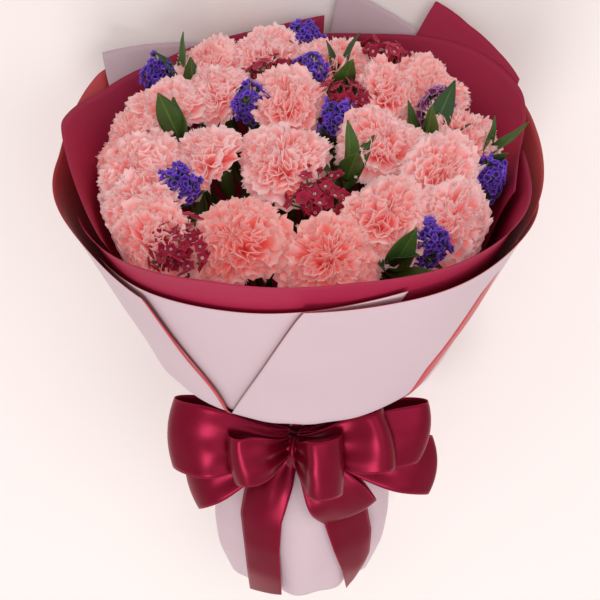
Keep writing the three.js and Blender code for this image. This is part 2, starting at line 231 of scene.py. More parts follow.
class Tree:
    """A node tree with short calls: add makes a node with its inputs set, and join links two sockets."""

    def __init__(self, tree):
        self.tree = tree
        tree.nodes.clear()

    def add(self, kind, inputs=None, **settings):
        node = self.tree.nodes.new(kind)
        for key, value in settings.items():
            setattr(node, key, value)
        for key, value in (inputs or {}).items():
            if isinstance(value, bpy.types.NodeSocket):
                self.tree.links.new(value, node.inputs[key])
            else:
                node.inputs[key].default_value = value
        return node

    def value(self, name):
        return self.add("ShaderNodeAttribute", attribute_name=name).outputs["Fac"]

    def math(self, operation, a, b=0.0, c=0.0, clamp=False):
        node = self.add("ShaderNodeMath", {0: a, 1: b, 2: c}, operation=operation, use_clamp=clamp)
        return node.outputs[0]

    def mix(self, factor, a, b, blend="MIX"):
        node = self.add("ShaderNodeMix", data_type="RGBA", blend_type=blend)
        for key, value in ((0, factor), (6, a), (7, b)):
            if isinstance(value, bpy.types.NodeSocket):
                self.tree.links.new(value, node.inputs[key])
            else:
                node.inputs[key].default_value = value if key == 0 else (*value, 1)
        return node.outputs[2]

    def toned(self, colour, tone):
        """The colour times a grey tone."""
        grey = self.add("ShaderNodeCombineColor", {0: tone, 1: tone, 2: tone}).outputs[0]
        return self.mix(1.0, colour, grey, "MULTIPLY")

    def ramp(self, factor, stops):
        node = self.add("ShaderNodeValToRGB", {0: factor})
        elements = node.color_ramp.elements
        while len(elements) < len(stops):
            elements.new(0.5)
        for element, (place, colour) in zip(elements, stops):
            element.position = place
            element.color = (*colour, 1)
        return node.outputs[0]

    def surface(self, colour, roughness, height=None, bump=0.3, distance=0.0005, glow=0.0, **values):
        """The Principled shader with the colour and roughness linked, even values set on its sockets. The
        emission strength, when not nought, makes the surface give off its own colour as painted light, which
        lightens its shaded folds."""
        shader = self.add("ShaderNodeBsdfPrincipled", {"Base Color": colour, "Roughness": roughness})
        # Painted light: the surface gives off its own colour, so its shade is lighter than the lamps alone
        # would make it.
        if glow:
            self.tree.links.new(colour, shader.inputs["Emission Color"])
            shader.inputs["Emission Strength"].default_value = glow
        for key, value in values.items():
            shader.inputs[key.replace("_", " ")].default_value = value
        if height is not None:
            raised = self.add("ShaderNodeBump", {"Height": height, "Strength": bump, "Distance": distance})
            self.tree.links.new(raised.outputs[0], shader.inputs["Normal"])
        end = self.add("ShaderNodeOutputMaterial")
        self.tree.links.new(shader.outputs[0], end.inputs[0])


def effect(name, inputs, outputs):
    """An empty node group with named value inputs and outputs; returns it with its two end nodes."""
    group = bpy.data.node_groups.new(name, "ShaderNodeTree")
    for title, default in inputs.items():
        socket = group.interface.new_socket(title, in_out="INPUT", socket_type="NodeSocketFloat")
        socket.default_value = default
    for title in outputs:
        group.interface.new_socket(title, in_out="OUTPUT", socket_type="NodeSocketFloat")
    tree = Tree(group)
    return group, tree, tree.add("NodeGroupInput"), tree.add("NodeGroupOutput")


def mottling_effect():
    """Soft uneven patches: noise on Object coordinates, as a tone about 1 and a height."""
    group, tree, start, end = effect("Mottling", {"Scale": 100.0, "Depth": 0.1}, ["Tone", "Height"])
    place = tree.add("ShaderNodeTexCoord").outputs["Object"]
    noise = tree.add("ShaderNodeTexNoise", {"Vector": place, "Scale": start.outputs["Scale"], "Detail": 4.0})
    centred = tree.math("SUBTRACT", noise.outputs[0], 0.5)
    tone = tree.math("MULTIPLY_ADD", centred, start.outputs["Depth"], 1.0)
    tree.tree.links.new(tone, end.inputs["Tone"])
    tree.tree.links.new(noise.outputs[0], end.inputs["Height"])
    return group


def vein_effect():
    """Fine ridges that run up a petal or leaf: a wave across it, wandered by noise, as a 0 to 1 height."""
    group, tree, start, end = effect("Fine Veins", {"Count": 12.0, "Wander": 2.0}, ["Height"])
    noise = tree.add("ShaderNodeTexNoise", {"Vector": tree.add("ShaderNodeTexCoord").outputs["Object"],
                                            "Scale": 220.0, "Detail": 2.0})
    turned = tree.math("MULTIPLY", tree.value("across"), start.outputs["Count"])
    wandered = tree.math("MULTIPLY_ADD", noise.outputs[0], start.outputs["Wander"], turned)
    wave = tree.math("SINE", tree.math("MULTIPLY", wandered, math.pi))
    tree.tree.links.new(tree.math("MULTIPLY_ADD", wave, 0.5, 0.5), end.inputs["Height"])
    return group


def fibre_effect():
    """Paper fibres: fine noise stretched two ways, as a tone about 1 and a height."""
    group, tree, start, end = effect("Paper Fibres", {"Depth": 0.08}, ["Tone", "Height"])
    place = tree.add("ShaderNodeTexCoord").outputs["Object"]
    heights = []
    for stretch in ((260, 900, 260), (900, 260, 900)):
        scaled = tree.add("ShaderNodeMapping", {"Vector": place, "Scale": stretch}).outputs[0]
        noise = tree.add("ShaderNodeTexNoise", {"Vector": scaled, "Scale": 1.0, "Detail": 5.0})
        heights.append(noise.outputs[0])
    height = tree.math("MULTIPLY_ADD", tree.math("ADD", heights[0], heights[1]), 0.5, 0.0)
    tone = tree.math("MULTIPLY_ADD", tree.math("SUBTRACT", height, 0.5), start.outputs["Depth"], 1.0)
    tree.tree.links.new(tone, end.inputs["Tone"])
    tree.tree.links.new(height, end.inputs["Height"])
    return group


def weave_effect():
    """Satin weave: fine threads along the ribbon, crossed by fainter ones, from its own mm values."""
    group, tree, start, end = effect("Satin Weave", {"Threads": 2.2}, ["Height"])
    waves = []
    for name, share in (("across_mm", 1.0), ("along_mm", 0.55)):
        pitch = tree.math("MULTIPLY", start.outputs["Threads"], share * math.tau)
        waves.append(tree.math("SINE", tree.math("MULTIPLY", tree.value(name), pitch)))
    both = tree.math("MULTIPLY_ADD", waves[1], 0.3, waves[0])
    tree.tree.links.new(tree.math("MULTIPLY_ADD", both, 0.38, 0.5), end.inputs["Height"])
    return group


EFFECTS = {}


def use_effect(tree, name, **inputs):
    """Places a shared effect in a material, made the first time that it is asked for."""
    makers = {"Mottling": mottling_effect, "Fine Veins": vein_effect,
              "Paper Fibres": fibre_effect, "Satin Weave": weave_effect}
    if name not in EFFECTS:
        EFFECTS[name] = makers[name]()
    return tree.add("ShaderNodeGroup", inputs, node_tree=EFFECTS[name]).outputs


def new_material(name, colour):
    """A material and its empty tree; the colour is for the solid view."""
    material = bpy.data.materials.new(name)
    material.use_nodes = True
    material.diffuse_color = (*colour, 1)
    return material, Tree(material.node_tree)


def petal_material(name, deep, middle, pale, spots=(0.0, 0.42, 0.74, 1.0), veins=9.0, glow=0.12):
    """Petal colour from the deep base to the pale margin, shifted by each petal's own shade."""
    material, tree = new_material(name, middle)
    mottling = use_effect(tree, "Mottling", Scale=160.0, Depth=0.24)
    shade = tree.math("MULTIPLY_ADD", tree.value("shade"), 0.22, -0.11)
    patch = tree.math("MULTIPLY_ADD", mottling["Height"], 0.3, -0.15)
    place = tree.math("ADD", tree.math("ADD", tree.value("edge"), shade), patch, clamp=True)
    colour = tree.ramp(place, list(zip(spots, (deep, deep, middle, pale))))
    colour = tree.mix(tree.value("warm"), colour, (1.0, 0.66, 0.6), "MULTIPLY")
    colour = tree.toned(colour, mottling["Tone"])
    veined = use_effect(tree, "Fine Veins", Count=veins, Wander=1.5)["Height"]
    rough = tree.math("MULTIPLY_ADD", veined, 0.12, 0.5)
    # The petals give off their own colour at a small strength: painted light that lightens the shade between
    # them.
    tree.surface(colour, rough, veined, 0.25, 0.0006, Sheen_Weight=0.25, Sheen_Roughness=0.5,
                 Specular_IOR_Level=0.3, glow=glow)
    return material


def leaf_material(name, dark, light, veins=7.0, gloss=0.42):
    """Leaf green, paler along the midrib and towards the tip, with fine side veins."""
    material, tree = new_material(name, dark)
    mottling = use_effect(tree, "Mottling", Scale=90.0, Depth=0.5)
    from_rib = tree.math("ABSOLUTE", tree.value("across"))
    rib = tree.math("SUBTRACT", 1.0, tree.math("MULTIPLY", from_rib, 9.0), clamp=True)
    slanted = tree.math("MULTIPLY_ADD", from_rib, -1.1, tree.value("edge"))
    side = tree.math("SINE", tree.math("MULTIPLY", slanted, veins * math.tau))
    height = tree.math("MULTIPLY_ADD", side, 0.3, rib)
    pale = tree.math("MULTIPLY_ADD", tree.value("shade"), 0.5, tree.math("MULTIPLY", rib, 0.45), clamp=True)
    colour = tree.mix(pale, dark, light)
    colour = tree.toned(colour, mottling["Tone"])
    rough = tree.math("MULTIPLY_ADD", mottling["Height"], 0.2, gloss - 0.1)
    tree.surface(colour, rough, height, 0.35, 0.0008, Specular_IOR_Level=0.4)
    return material


def paper_material(name, colour, depth=0.10, roughness=0.55, sheen=0.15):
    """Wrapping paper: an even colour with faint cloudy patches, fine fibres and a soft waxy gloss."""
    material, tree = new_material(name, colour)
    fibres = use_effect(tree, "Paper Fibres", Depth=depth)
    cloud = use_effect(tree, "Mottling", Scale=9.0, Depth=0.14)
    tone = tree.math("MULTIPLY", fibres["Tone"], cloud["Tone"])
    toned = tree.toned(colour, tone)
    rough = tree.math("MULTIPLY_ADD", fibres["Height"], 0.2, roughness - 0.1)
    tree.surface(toned, rough, fibres["Height"], 0.22, 0.0004, Sheen_Weight=sheen, Sheen_Roughness=0.4,
                 Specular_IOR_Level=0.35)
    return material


def satin_material(name, colour, bright):
    """Satin ribbon: threads under a soft gloss, with a painted highlight colour mixed in along the weave's
    raised threads and towards its edges.
    """
    material, tree = new_material(name, colour)
    weave = use_effect(tree, "Satin Weave", Threads=1.6)["Height"]
    cloud = use_effect(tree, "Mottling", Scale=60.0, Depth=0.3)
    # Painted highlight: masks of the raised threads and of the ribbon's edges, where the satin colour is
    # mixed towards a lighter one.
    float_highlight = tree.math("MULTIPLY", tree.math("MULTIPLY", weave, 0.3), cloud["Height"])
    to_edge = tree.math("POWER", tree.math("ABSOLUTE", tree.value("across")), 24.0)
    edge_highlight = tree.math("MULTIPLY", to_edge, 0.5)
    toned = tree.mix(tree.math("ADD", float_highlight, edge_highlight, clamp=True), colour, bright)
    rough = tree.math("MULTIPLY_ADD", cloud["Height"], 0.05, 0.3)
    tree.surface(toned, rough, weave, 0.05, 0.0003, Metallic=0.1, Specular_IOR_Level=0.95, IOR=1.62,
                 Specular_Tint=(1.0, 0.07, 0.19, 1))
    return material


def twine_material(name, colour):
    """Twisted fibre: slanting strands from the cord's own mm values, with loose fuzz as fine noise."""
    material, tree = new_material(name, colour)
    fuzz = use_effect(tree, "Mottling", Scale=1500.0, Depth=0.5)
    strand = tree.math("SINE", tree.math("MULTIPLY", tree.value("along_mm"), 2.4))
    height = tree.math("MULTIPLY_ADD", strand, 0.4, fuzz["Height"])
    toned = tree.mix(tree.math("MULTIPLY", fuzz["Height"], 0.6), colour, (0.2, 0.13, 0.06))
    tree.surface(toned, tree.math("MULTIPLY_ADD", fuzz["Height"], 0.2, 0.75), height, 0.6, 0.0006)
    return material


def floor_material(name, colour):
    """The pale table top: an even matt colour with the faintest unevenness."""
    material, tree = new_material(name, colour)
    cloud = use_effect(tree, "Mottling", Scale=3.0, Depth=0.02)
    toned = tree.toned(colour, cloud["Tone"])
    tree.surface(toned, tree.math("MULTIPLY_ADD", cloud["Height"], 0.05, 0.85), Specular_IOR_Level=0.1)
    return material


FINISHES = {}


def finish(name, maker, *values, **more):
    """The material of that name, made the first time that it is asked for."""
    if name not in FINISHES:
        FINISHES[name] = maker(name, *values, **more)
    return FINISHES[name]


def scaled(colour, factor):
    """A colour made darker or lighter."""
    return tuple(min(1.0, c * factor) for c in colour)


# ---------------------------------------------------------------- the paper's outside shape


def radius_rows(name):
    """A wrapped CAD sheet's outside radius at each height where it has corners, clear of its flat back."""
    p = node_points(name)
    radius = np.hypot(p[:, 0], p[:, 2])
    clear = p[:, 2] > 0.5 * radius
    height = np.round(p[clear, 1], 1)
    rows = np.unique(height)
    return rows, np.array([radius[clear][height == row].max() for row in rows])


def rounded_profile(rows, radius, low, high, rounding=6.0):
    """Radius by height on a 1 mm grid, run on straight past its ends, with its corners rounded off by a
    bell curve."""
    heights = np.arange(low - 30.0, high + 31.0)
    past = [(radius[1] - radius[0]) / (rows[1] - rows[0]), (radius[-1] - radius[-2]) / (rows[-1] - rows[-2])]
    r = np.interp(heights, rows, radius)
    r += np.minimum(heights - rows[0], 0) * past[0] + np.maximum(heights - rows[-1], 0) * past[1]
    bell = np.exp(-((np.arange(-24, 25) / rounding) ** 2) / 2)
    return heights[24:-24], np.convolve(r, bell / bell.sum(), mode="valid")


def collar_profile():
    """The collar's radius by height, with the bowl's curve carried up by 8 mm where it swells, since the
    soft paper sags less than the solid."""
    heights, radius = rounded_profile(*radius_rows("collar_left"), 0, 330)
    lift = 8 * smooth(heights, 22, 42) * (1 - smooth(heights, 95, 160))
    return heights, np.interp(heights - lift, heights, radius)


COLLAR = collar_profile()
FOOT = rounded_profile(*radius_rows("foot_wrap"), -190, 0)
LAYER = 2.4  # from one layer of paper to the next
TABLE_GAP = 1.3  # the wrap's back stands this far off the table
LEAN_START = 225  # the tall back corners lean out above this height
LEAN_TURN = 125  # the angle either side of the front at which they lean out most


def corner_lean(turn, along):
    """How far the back corners lean out: a bell curve of the turn, straight up from LEAN_START."""
    bell = np.exp(-(((np.abs(turn) - LEAN_TURN) / 32) ** 2))
    return 26 * bell * np.maximum(0, along - LEAN_START) / 55


def folds(angle, along):
    """How far the paper stands out from its smooth shape: gathers at the neck, 23 to the turn, that die
    out in a bell curve, slight pulls above them, and broad waves that grow towards the rim."""
    a = np.radians(angle)
    gathers = np.sin(23 * a + 2 * np.sin(3 * a)) * np.exp(-(((along - 22) / 18) ** 2))
    waves = np.sin(3 * a + 0.6) + 0.7 * np.sin(5 * a + 2.2 + along * 0.006)
    waves = waves + 0.4 * np.sin(9 * a + along * 0.01)
    pulls = np.sin(17 * a + 1.3 * np.sin(5 * a)) * smooth(along, 30, 70) * (1 - smooth(along, 80, 170))
    return 2.2 * gathers + 1.3 * waves * smooth(along, 60, 240) + 0.5 * pulls


def wrap(profile, angle, along, inset=0.0, height_of_folds=1.0):
    """A point of the paper: the profile's radius, the corners' lean and the folds, less the inset, at a
    turn of angle degrees from the front, raised to the table by a rounded maximum."""
    turn = (angle + 180) % 360 - 180
    a = np.radians(turn)
    lean = corner_lean(turn, along)
    radius = np.interp(along, *profile) + lean - inset + height_of_folds * folds(turn, along)
    out = radius * np.cos(a)
    table = table_depth(along) + inset / math.cos(LEAN) + TABLE_GAP
    near = np.maximum(0, 1 - np.abs(out - table) / 16)
    depth = np.maximum(out, table) + near * near * 4
    return np.stack([radius * np.sin(a), along + 0 * radius, depth], axis=-1)


def table_depth(along):
    """How far the table lies behind the axis, as a depth out of the front."""
    return -(TIE_HEIGHT + along * math.sin(LEAN)) / math.cos(LEAN)


FLOWER_GAP = 15.0  # petals stay this far inside the collar's outside
LEAF_GAP = 22.0  # and leaves this far


def keep_inside(p, gap=FLOWER_GAP, soft=9.0):
    """Draws points that would pass the lining back inside it, by the gap and a little more at the sides:
    the last few millimetres before the limit are squeezed by an exponential, and so it is at the table."""
    radius = np.hypot(p[..., 0], p[..., 2])
    turn = np.degrees(np.arctan2(p[..., 0], p[..., 2]))
    lean = corner_lean(turn, p[..., 1])
    drawn = 8 * np.exp(-(((np.abs(turn) - 84) / 26) ** 2)) * smooth(p[..., 1], 130, 240)
    limit = np.interp(p[..., 1], *COLLAR) + lean + np.minimum(0, folds(turn, p[..., 1])) - gap - drawn
    over = np.maximum(0, radius - (limit - soft))
    squeezed = limit - soft + soft * (1 - np.exp(-over / soft))
    share = np.where(over > 0, squeezed / np.maximum(radius, 1e-6), 1.0)
    q = p * np.stack([share, np.ones_like(share), share], axis=-1)
    floor = table_depth(q[..., 1]) + gap / math.cos(LEAN) + soft
    under = np.maximum(0, floor - q[..., 2])
    q[..., 2] = np.where(under > 0, floor - soft * (1 - np.exp(-under / soft)), q[..., 2])
    return q


# ---------------------------------------------------------------- cut flowers

STEM_CURVE = 1.3  # the power of the height by which the stems spread above the tie
STEM_LOW = -150.0  # where the stems are cut
STEM_FAN = 400.0  # below the tie they spread by the depth over this
END_SPREAD = 1 - STEM_LOW / STEM_FAN  # a cut end's distance from the axis, against that at the tie
JOINT_STEP = 62  # from one swollen joint of a stem to the next
GOLDEN_TURN = 2.39996  # radians from one floret to the next, so that they fill a dome evenly


class Flower:
    """Where a cut flower stands, read from its CAD solid: its neck at the tie, the base and tip of its
    head, and up, the direction that the head faces. span is the head's length."""

    def __init__(self, name, span):
        self.name = name
        p = np.unique(np.round(node_points(name), 2), axis=0)
        end = p[p[:, 1] < p[:, 1].min() + 3].mean(axis=0)
        self.neck = np.array([end[0] / END_SPREAD, 0, end[2] / END_SPREAD])
        up = self.ahead(p[np.argsort(p[:, 1])[-8:]].mean(axis=0))
        for _ in range(5):
            self.tip = p[np.argmax(p @ up)]
            self.base = self.tip - span * up
            up = self.ahead(self.base)
        self.up = up
        self.aside = unit(np.cross(up, ACROSS_LINE))
        self.other = np.cross(self.aside, up)

    def ahead(self, at):
        """The stem's direction at a point of it."""
        slope = STEM_CURVE * (at - self.neck) / at[1]
        return unit(np.array([slope[0], 1.0, slope[2]]))

    def stem(self, heights):
        """Points of the stem: straight below the tie, and spread as height to the power STEM_CURVE above."""
        share = np.where(heights < 0, 0, np.maximum(heights, 0) / self.base[1]) ** STEM_CURVE
        below = np.where(heights < 0, 1 - heights / STEM_FAN, 1)
        p = self.neck * below[:, None] + (self.base - self.neck) * share[:, None]
        p[:, 1] = heights
        return p

    def place(self, x, y, z, start=None):
        """Points at x and y aside and z along the head, from its base or another start."""
        start = self.base if start is None else start
        return start + x[..., None] * self.aside + y[..., None] * self.other + z[..., None] * self.up

    def round_about(self, turn):
        """Directions square to the head, each at its own turn."""
        return np.cos(turn)[:, None] * self.aside + np.sin(turn)[:, None] * self.other


def stem_part(flower, radius, cup, number):
    """A stem from its cut end to its head, swollen at its joints by a bell curve, which widens into the
    cup's [rise, radius] rings under the flower. The flower's number shifts the joints."""
    heights = np.concatenate([[STEM_LOW], np.linspace(STEM_LOW + 2, flower.base[1] - 3, 34)])
    line = flower.stem(heights)
    joints = np.exp(-((((heights + 20 * number) % JOINT_STEP) - JOINT_STEP / 2) / 2.5) ** 2)
    rise, rings = np.array(cup, float).T
    line = np.concatenate([line, flower.base + rise[:, None] * flower.up])
    wide = np.concatenate([radius * (1 + 0.45 * joints), rings])
    values = {"edge": np.linspace(0, 1, len(wide)), "across": 0.5, "shade": 0.55}
    return closed_tubes(line[None], wide[None], 8, values)


def leaf_blades(base, ahead, face, length, width, rng, fold=0.35, curl=0.25, rows=9, columns=7):
    """k pointed leaves: the half width is the sine of a power of the way along, the blade folds up
    from its midrib, droops by the square of the way along, and its edges wave a little."""
    k = len(base)
    u = np.linspace(0, 1, rows)[None, :, None]
    v = np.linspace(-1, 1, columns)[None, None, :]
    ahead = unit(ahead)
    side = unit(np.cross(ahead, face))
    face = np.cross(side, ahead)
    length = np.broadcast_to(length, k)[:, None, None]
    half = np.broadcast_to(width, k)[:, None, None] / 2 * np.maximum(np.sin(np.pi * u ** 0.75), 0.04) ** 0.85
    phase = rng.uniform(0, 6.28, (k, 1, 1))
    wave = 0.10 * half * np.sin(9 * u + phase) * np.abs(v)
    droop = np.broadcast_to(curl, k)[:, None, None] * length * u ** 2
    x = half * v * (1 - 0.2 * fold)
    z = fold * half * np.abs(v) - droop + wave
    p = (base[:, None, None] + (length * u + 0 * v)[..., None] * ahead[:, None, None]
         + x[..., None] * side[:, None, None] + z[..., None] * face[:, None, None])
    values = {"edge": u, "across": v, "shade": rng.uniform(0, 1, (k, 1, 1))}
    return closed_sheets(keep_inside(p, LEAF_GAP), LEAF_THICKNESS, values)


LEAF_THICKNESS = 0.45
PETAL_THICKNESS = 0.4
FLORET_THICKNESS = 0.35

# Whorls of petals from the middle out: how many, their tilt at the margin in degrees, length and width.
WHORLS = np.array([[4, 9, 28, 22], [6, 20, 30, 27], [8, 34, 32, 31], [9, 50, 33, 34], [10, 67, 34, 37],
                   [10, 84, 34, 39], [8, 101, 33, 40]])
FACE = np.array([0, 0.45, 0.9])  # blooms turn a little this way, up and out of the front
ACROSS_LINE = np.array([0.2, 0.1, 0.97])  # any line that no flower faces: its cross product gives aside
BLOOM_DROP = 31.0  # from the CAD head's tip down to the mouth of the calyx


def bloom(flower, size, ruffle, warm, rng):
    """A carnation's petals. Each one's middle line tilts smoothly from upright at the calyx to its whorl's
    tilt at the margin; it fans out in width, wraps round the flower, and is gathered into sine waves that
    deepen towards a toothed margin. The whole is lumpy by two sines of the turn, in radius and in height,
    and a bloom too near the lining is moved in by up to 10 mm."""
    size = size * rng.uniform(0.94, 1.07)
    kind = np.repeat(np.arange(len(WHORLS)), WHORLS[:, 0].astype(int))
    k = len(kind)
    rows, columns = 9, 25
    count, tilt, length, width = WHORLS[kind].T
    place = np.concatenate([np.arange(n) for n in WHORLS[:, 0].astype(int)])
    turn = place / count * 2 * np.pi + kind * 2.4 + rng.normal(0, 0.16, k)
    tilt = np.radians(tilt + rng.normal(0, 7, k))
    length = length * size * rng.uniform(0.9, 1.05, k)
    width = width * size * rng.uniform(0.9, 1.15, k)
    u = np.linspace(0, 1, rows) ** 0.8
    v = np.linspace(-1, 1, columns)
    bend = 0.09 + (tilt[:, None] - 0.09) * smooth(u, -0.1, 1.05)
    step = np.diff(u, prepend=0.0)
    r = 2.4 + np.cumsum(np.sin(bend) * step, axis=1) * length[:, None]
    z = np.cumsum(np.cos(bend) * step, axis=1) * length[:, None]
    half = width[:, None] / 2 * (0.18 + 0.82 * u ** 1.1)
    waves = rng.uniform(2.2, 3.4, (k, 1, 1))
    phase = rng.uniform(0, 2 * np.pi, (k, 3, 1, 1))
    deep = (ruffle * size * rng.uniform(0.7, 1.3, k) * (1.15 - 0.06 * kind))[:, None, None]
    ups = u[None, :, None]
    across = v[None, None, :]
    wave = np.sin(waves * np.pi * across + phase[:, 0] + 1.1 * ups)
    broad = np.sin(1.1 * np.pi * across + phase[:, 1])
    lift = deep * (ups ** 1.9 * wave + 0.7 * ups ** 1.4 * broad)
    lumps = rng.uniform(0, 2 * np.pi, 4)
    teeth = np.where(np.arange(columns) % 2 == 1, 1.8 * size, 0.0) * (ups > 0.999)
    round_off = (0.10 * length)[:, None, None] * ups * across ** 4
    back = teeth + round_off + 1.1 * ups ** 2 * np.sin(5 * across + phase[:, 2])
    s, c = np.sin(bend)[..., None], np.cos(bend)[..., None]
    rr = r[..., None] - s * back - c * lift
    zz = z[..., None] - c * back + s * lift
    angle = turn[:, None, None] + half[..., None] * across / (r[..., None] + 9) + 0.09 * np.cos(
        waves * np.pi * across + phase[:, 2]) * ups ** 2
    to_front = 0.5 * FACE * (1 - 0.5 * smooth(flower.tip[2], 0, 120))
    facing = unit(flower.up + to_front + rng.normal(0, 0.13, 3))
    start = flower.tip - BLOOM_DROP * flower.up * size ** 0.5
    limit = np.interp(flower.tip[1], *COLLAR) - FLOWER_GAP
    over = np.hypot(flower.tip[0], flower.tip[2]) + 30 * size - limit
    start = start - max(0, min(10, 0.5 * over)) * unit(flower.tip * [1, 0, 1])
    aside = unit(np.cross(facing, ACROSS_LINE))
    other = np.cross(aside, facing)
    rr = rr * (1 + 0.09 * np.sin(2 * angle + lumps[0]) + 0.07 * np.sin(3 * angle + lumps[1]))
    zz = zz + 0.12 * rr * np.sin(angle + lumps[2]) + 0.1 * rr * np.sin(3 * angle + lumps[3])
    x, y = rr * np.cos(angle), rr * np.sin(angle)
    p = keep_inside(start + x[..., None] * aside + y[..., None] * other + zz[..., None] * facing)
    shade = (rng.uniform(0, 1, k) * 0.7 + 0.3 * (kind / 5))[:, None, None]
    values = {"edge": ups, "across": across, "shade": shade, "warm": warm}
    return closed_sheets(p, PETAL_THICKNESS, values)


def dome(flower, count, wide, tall, spread, middle, rng):
    """Places over a dome in golden turns, wide aside and tall along the head, with lumps of two sines, and
    the way that each place faces."""
    i = (np.arange(count) + 0.5) / count
    polar = np.arccos(1 - i * spread)
    turn = np.arange(count) * GOLDEN_TURN + rng.normal(0, 0.1, count)
    x, y, z = np.sin(polar) * np.cos(turn), np.sin(polar) * np.sin(turn), np.cos(polar)
    grow = rng.uniform(0.82, 1.05, count)
    lumps = 0.82 + 0.2 * np.sin(3 * turn + 4 * z + rng.uniform(0, 6)) + 0.1 * np.sin(7 * x + 5 * y)
    centre = flower.place(wide * x * grow * lumps, wide * y * grow * lumps, middle + tall * z * grow * lumps)
    straight = flower.place(x / wide, y / wide, z / tall, np.zeros(3)) * 12
    return centre, unit(straight + rng.normal(0, 0.28, (count, 3)))


NOTCH = 0.3  # how far the notches between a floret's lobes cut in


def florets(centre, face, radius, depth, lobes, rng, rows=4):
    """k small flowers: a lobed disc whose radius is notched by the cosine of lobes times the turn, cupped by
    depth times the square of the way out, set on its face's direction at a turn of its own."""
    k = len(centre)
    u = np.linspace(0.08, 1, rows)[None, :, None]
    around = np.linspace(0, 2 * np.pi, 2 * lobes + 1)[None, None, :]
    aside = unit(np.cross(face, rng.normal(0, 1, (k, 3))))
    other = np.cross(face, aside)
    wide = np.broadcast_to(radius, k)[:, None, None] * rng.uniform(0.85, 1.15, (k, 1, 1))
    lobe = 1 - NOTCH * (0.5 - 0.5 * np.cos(lobes * around)) * u ** 2
    r = wide * u * lobe
    z = depth * (u ** 2 - 0.3) + 0.12 * wide * np.sin(2 * lobes * around + 1) * u ** 3
    p = (centre[:, None, None] + (r * np.cos(around))[..., None] * aside[:, None, None]
         + (r * np.sin(around))[..., None] * other[:, None, None]
         + (z + 0 * r)[..., None] * face[:, None, None])
    values = {"edge": u, "across": np.cos(lobes * around), "shade": rng.uniform(0, 1, (k, 1, 1))}
    return closed_sheets(keep_inside(p), FLORET_THICKNESS, values)


# ---------------------------------------------------------------- paper and ribbon


SKIN = 0.6  # the outermost paper's middle lies this far inside the outside shape
HEM_THICKNESS = 0.5
RIBBON_THICKNESS = 0.6
SHEET_START = 10.0  # a sheet's bottom edge, above the tie


def even_steps(values, t):
    """Values at even steps, joined by straight lines."""
    return np.interp(t, np.linspace(0, 1, len(values)), values)


def soft_line(values, t):
    """Values at even steps, joined by the one polynomial that passes through them all."""
    if len(values) < 3:
        return even_steps(values, t)
    return np.polyval(np.polyfit(np.linspace(0, 1, len(values)), values, len(values) - 1), t)


def paper_sheet(layer, left, right, top, roll, lift, lift_at, thickness, rows=64):
    """A sheet of the collar: its turn runs from the left edge's angle to the right edge's, its height from
    just above the tie to its wavy top edge, which is smoothed by a bell curve and rolls out a little. It
    stands out by lift, or in where that is negative, in a bell curve round the angle lift_at."""
    columns = int((max(right) - min(left)) * 0.9) + 12
    u = np.linspace(0, 1, columns)[None, :]
    v = np.linspace(0, 1, rows)[:, None]
    upper = even_steps(top, u[0])
    bell = np.exp(-(np.linspace(-2, 2, 9) ** 2))
    upper = np.convolve(np.pad(upper, 4, mode="edge"), bell / bell.sum(), mode="valid")
    along = SHEET_START + (upper - SHEET_START) * v
    lefts, rights = soft_line(left, v), soft_line(right, v)
    angle = lefts + (rights - lefts) * u
    rolled = roll * np.maximum(0, 1 - (upper - along) / 16) ** 2
    free = lift * np.exp(-(((angle - lift_at) / 22) ** 2)) * smooth(along, 130, 240)
    p = wrap(COLLAR, angle, along, layer * LAYER + SKIN - rolled - free)
    return closed_sheets(p[None], thickness, {"edge": v, "across": 2 * u - 1}, back_material=1)


def foot_sheet(thickness, rows=56, columns=260):
    """The foot's one sheet, wound once round the stems: gathered at the neck, with soft upright folds
    that deepen towards a wavy open mouth."""
    v = np.linspace(0, 1, rows)[:, None]
    u = np.linspace(0, 1, columns)[None, :]
    angle = 172 + 384 * u
    a = np.radians(angle)
    end = -168 + 3 * np.sin(3 * a + 1) + 1.5 * np.sin(7 * a)
    along = -10 + (end + 10) * v
    gathers = 2.0 * np.sin(21 * a + np.sin(4 * a)) * np.exp(-(((along + 24) / 16) ** 2))
    soft = (0.8 + 2.6 * v) * smooth(v, 0.15, 0.6) * (np.sin(5 * a + 0.8) + 0.5 * np.sin(11 * a + 2 * v))
    inset = SKIN + 2.0 * (1 - u) - gathers - soft
    p = wrap(FOOT, angle, along, inset, 0.0)
    return closed_sheets(p[None], thickness, {"edge": v, "across": 0.0}, back_material=1)


def hem_strip(angles, heights, widths, rise, rows=80):
    """A narrow turned-over hem that lies on the collar along a slanted line, its width in mm changing
    along it."""
    v = np.linspace(0, 1, rows)[:, None]
    u = np.linspace(-0.5, 0.5, 6)[None, :]
    along = even_steps(heights, v)
    angle = soft_line(angles, v) + np.degrees(even_steps(widths, v) * u / np.interp(along, *COLLAR))
    bulge = 0.5 * np.cos(np.pi * u)
    p = wrap(COLLAR, angle, along + 0 * u, -rise + SKIN - bulge)
    return closed_sheets(p[None], HEM_THICKNESS, {"edge": v, "across": 2 * u})


def ribbon_strip(line, side, face, half, pleats):
    """A strip of ribbon carried along a line: each row runs half the width either way along side, and the
    pleats' heights, with one column for each place across, stand out along face."""
    v = np.linspace(-1, 1, pleats.shape[1])
    p = line[:, None] + (half[:, None] * v)[..., None] * side[:, None] + pleats[..., None] * face[:, None]
    length = np.concatenate([[0], np.cumsum(np.linalg.norm(np.diff(line, axis=0), axis=1))])
    values = {"across": v, "across_mm": half[:, None] * v, "along_mm": length[:, None]}
    return closed_sheets(p[None], RIBBON_THICKNESS, values), length[-1]


